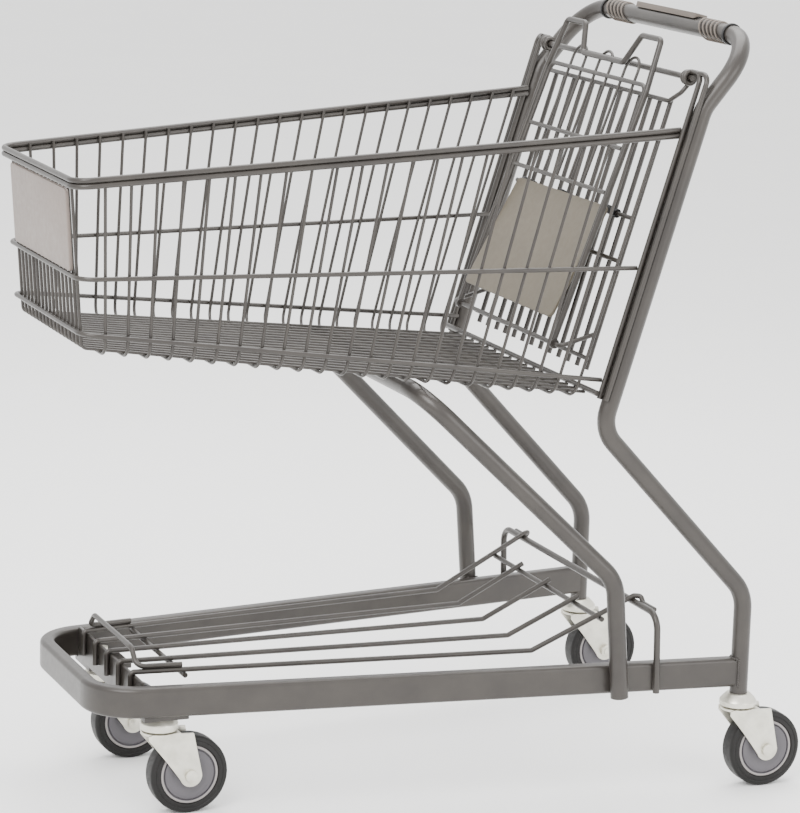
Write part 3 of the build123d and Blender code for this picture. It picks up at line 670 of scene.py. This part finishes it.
class CART_OT_make_hubs(bpy.types.Operator):
    """Model one wheel centre with its rim ring, groove, dished disc and boss, and fit it to each wheel"""

    bl_idname = "cart.make_hubs"
    bl_label = "Make Hubs"

    def execute(self, context):
        radius = sizes().hub_radius
        half = HUB_HALF_MM * MM
        hub = primitive(
            "cylinder", "hub", vertices=96, radius=radius, depth=2 * half, rotation=(0, pi / 2, 0)
        )
        edit(hub, lambda face: abs(face.normal.x) > 0.9)
        for thickness, depth in HUB_STEPS:
            bpy.ops.mesh.inset(thickness=thickness * MM, depth=depth * MM)
        bpy.ops.mesh.inset(thickness=1.2 * MM)
        bpy.ops.mesh.bridge_edge_loops()
        bpy.ops.object.mode_set(mode="OBJECT")
        round_edges(hub, 0.25 * MM, 2, 25)
        smooth(hub, 30)
        for corner in CORNERS:
            node_name = f"{corner}_wheel_hub"
            made = copy_at(hub, f"{corner}_hub", middle_of(node_name))
            finish_piece(made, f"{corner}_wheel", "hub_plastic", finish("hub_plastic"), node_name)
        bpy.data.objects.remove(hub)
        ring = primitive(
            "torus",
            "hub_ring",
            major_segments=96,
            minor_segments=12,
            major_radius=sizes().ring_radius,
            minor_radius=sizes().ring_half,
            rotation=(0, pi / 2, 0),
        )
        for vertex in ring.data.vertices:
            vertex.co.x *= 0.5
        smooth(ring, 60)
        for corner in CORNERS:
            centre = middle_of(f"{corner}_wheel_hub")
            sides = [
                copy_at(ring, f"{corner}_ring_{index}", centre + Vector((side * half, 0, 0)))
                for index, side in enumerate((1, -1))
            ]
            made = join(sides, f"{corner}_hub_rings")
            finish_piece(made, f"{corner}_wheel", "hub_plastic", finish("hub_ring"))
        bpy.data.objects.remove(ring)
        return {"FINISHED"}


class CART_OT_set_stage(bpy.types.Operator):
    """Add the pale floor, the soft lights and the camera"""

    bl_idname = "cart.set_stage"
    bl_label = "Set Stage"

    def execute(self, context):
        floor = primitive("plane", "studio_floor", size=FLOOR_SIDE)
        floor.data.materials.append(studio_floor())
        scene = context.scene
        world = bpy.data.worlds.new("studio_air")
        scene.world = world
        world.use_nodes = True
        background = world.node_tree.nodes["Background"]
        background.inputs["Color"].default_value = (1, 1, 1, 1)
        background.inputs["Strength"].default_value = AIR_STRENGTH
        centre = Vector(LIGHT_TARGET)
        for name, place, size, power in SOFTBOXES:
            light = bpy.data.lights.new(name, "AREA")
            light.shape = "SQUARE"
            light.size = size
            light.energy = power
            lamp = bpy.data.objects.new(name, light)
            scene.collection.objects.link(lamp)
            lamp.location = place
            lamp.rotation_euler = (centre - Vector(place)).to_track_quat("-Z", "Y").to_euler()
        lens = bpy.data.cameras.new("studio_camera")
        lens.sensor_fit = "HORIZONTAL"
        lens.sensor_width = SENSOR_WIDTH_MM
        lens.lens = CAMERA_LENS_MM
        lens.clip_end = 200
        camera = bpy.data.objects.new("studio_camera", lens)
        scene.collection.objects.link(camera)
        azimuth = radians(CAMERA_AZIMUTH)
        elevation = radians(CAMERA_ELEVATION)
        roll = radians(CAMERA_ROLL)
        level_part = cos(elevation)
        back = Vector((sin(azimuth) * level_part, -cos(azimuth) * level_part, sin(elevation)))
        level = Vector((0, 0, 1)).cross(back).normalized()
        above = back.cross(level)
        right = cos(roll) * level + sin(roll) * above
        up = cos(roll) * above - sin(roll) * level
        turn = Matrix((right, up, back)).transposed().to_4x4()
        camera.matrix_world = Matrix.Translation(CAMERA_PLACE) @ turn
        scene.camera = camera
        return {"FINISHED"}


class CART_PT_panel(bpy.types.Panel):
    """Sizes, colours and makers of the cart"""

    bl_idname = "CART_PT_panel"
    bl_label = "Cart"
    bl_space_type = "VIEW_3D"
    bl_region_type = "UI"
    bl_category = "Cart"

    def draw(self, context):
        for group in (context.scene.cart_sizes, context.scene.cart_colours):
            for key in group.__annotations__:
                self.layout.prop(group, key)
        for operator in OPERATORS:
            self.layout.operator(operator.bl_idname)


OPERATORS = (
    CART_OT_coat_frame,
    CART_OT_make_grip,
    CART_OT_round_pieces,
    CART_OT_lay_beads,
    CART_OT_make_tyres,
    CART_OT_make_hubs,
    CART_OT_set_stage,
)
CLASSES = (CartColours, CartSizes, *OPERATORS, CART_PT_panel)


def register():
    for item in CLASSES:
        bpy.utils.register_class(item)
    bpy.types.Scene.cart_sizes = PointerProperty(type=CartSizes)
    bpy.types.Scene.cart_colours = PointerProperty(type=CartColours)


def unregister():
    del bpy.types.Scene.cart_colours
    del bpy.types.Scene.cart_sizes
    for item in reversed(CLASSES):
        bpy.utils.unregister_class(item)


def main():
    register()
    for operator in OPERATORS:
        group, name = operator.bl_idname.split(".")
        getattr(getattr(bpy.ops, group), name)()


if __name__ == "__main__":
    main()
